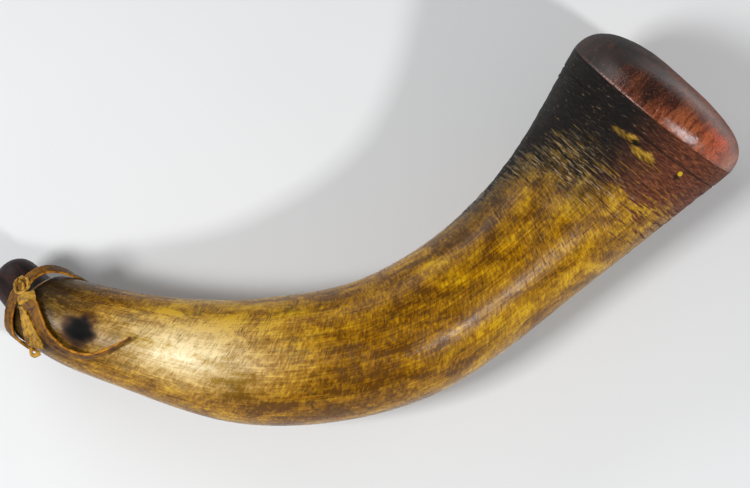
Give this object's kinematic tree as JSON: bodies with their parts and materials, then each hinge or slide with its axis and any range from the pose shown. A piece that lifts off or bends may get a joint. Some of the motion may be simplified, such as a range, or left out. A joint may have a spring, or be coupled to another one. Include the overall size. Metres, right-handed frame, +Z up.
{
  "type": "powder horn",
  "caption": "Cow powder horn with a domed, pegged wooden butt plug, a pull-out wooden stopper and a leather thong tied round its neck.",
  "frame": {"origin": "centre of the object's footprint, on the surface that it lies on", "axes": "+X along the horn's chord from the stopper to the butt plug, +Y towards the hollow side of its curve, +Z up"},
  "size_m": [0.3072, 0.1648, 0.0772],
  "materials": {
    "horn": "varnished horn, amber and olive with dark scratches, turning black-brown towards the wide end",
    "plug_wood": "dark red-brown, varnished and worn",
    "peg_wood": "pale, cut flush",
    "wax": "dark beeswax",
    "stopper_wood": "near-black red-brown, polished",
    "thong_leather": "stiff old leather, dark faces and orange cut edges",
    "rawhide": "lumpy, yellow-brown and waxed"
  },
  "bodies": {
    "horn": {"horn_shell": "horn", "base_plug": "plug_wood", "plug_pegs": "peg_wood", "plug_seal": "wax", "neck_loop": "thong_leather", "thong_knot": "rawhide", "short_tail": "rawhide", "long_tail": "thong_leather"},
    "stopper": {"stopper": "stopper_wood"}
  },
  "joints": [
    {"name": "stopper_pull", "type": "slide", "parent": "horn", "child": "stopper", "axis": [-0.6709, 0.7296, -0.1323], "range_m": [0, 0.04]}
  ]
}
